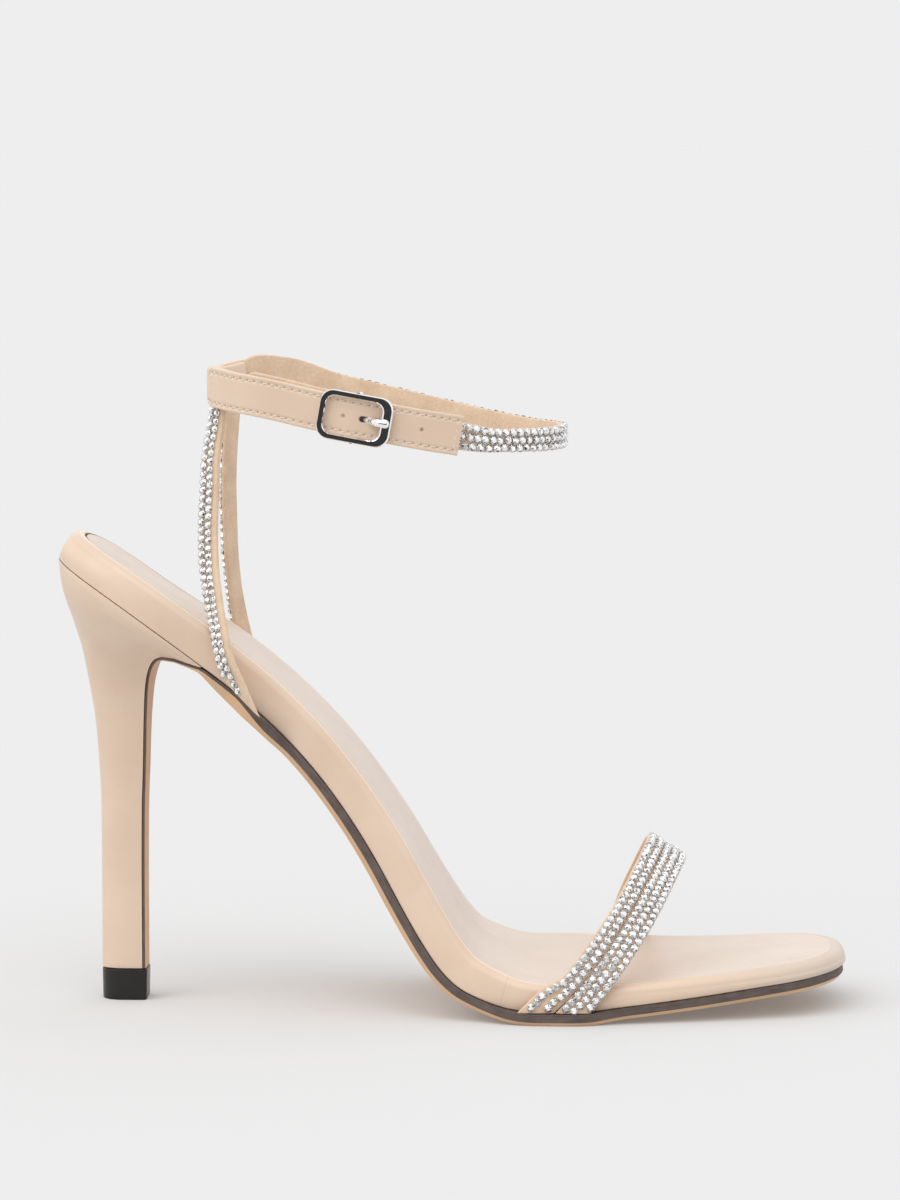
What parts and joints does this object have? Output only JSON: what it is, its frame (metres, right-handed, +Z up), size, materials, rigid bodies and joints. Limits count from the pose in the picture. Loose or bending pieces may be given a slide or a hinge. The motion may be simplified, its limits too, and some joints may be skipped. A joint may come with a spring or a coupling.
{
  "type": "strappy heeled sandal",
  "caption": "Strappy stiletto sandal in nude leather with stone-set vamp bands, quarter straps and a buckled ankle strap, on a slim high heel.",
  "frame": {"origin": "middle of the heel tip's bottom face, on the floor", "axes": "+X towards the toe, +Y towards the medial (inner) side of the foot, +Z up from the floor"},
  "size_m": [0.2049, 0.0797, 0.1676],
  "materials": {
    "nude_leather": "smooth satin",
    "sock_satin": "smooth, soft sheen",
    "painted_edge": "matt, rough painted edge",
    "tip_rubber": "glossy",
    "stone_set_strap": "microsuede set with cut crystal stones in metal cups",
    "chrome": "polished"
  },
  "bodies": {
    "root": {"outsole": "painted_edge", "footbed": "nude_leather", "insole_sock": "sock_satin", "heel": "nude_leather", "heel_tip": "tip_rubber", "vamp_band_rear": "stone_set_strap", "vamp_band_front": "stone_set_strap", "quarter_straps": "stone_set_strap", "ankle_strap": "stone_set_strap", "ankle_billet": "nude_leather", "buckle_frame": "chrome", "buckle_prong": "chrome"}
  },
  "joints": []
}
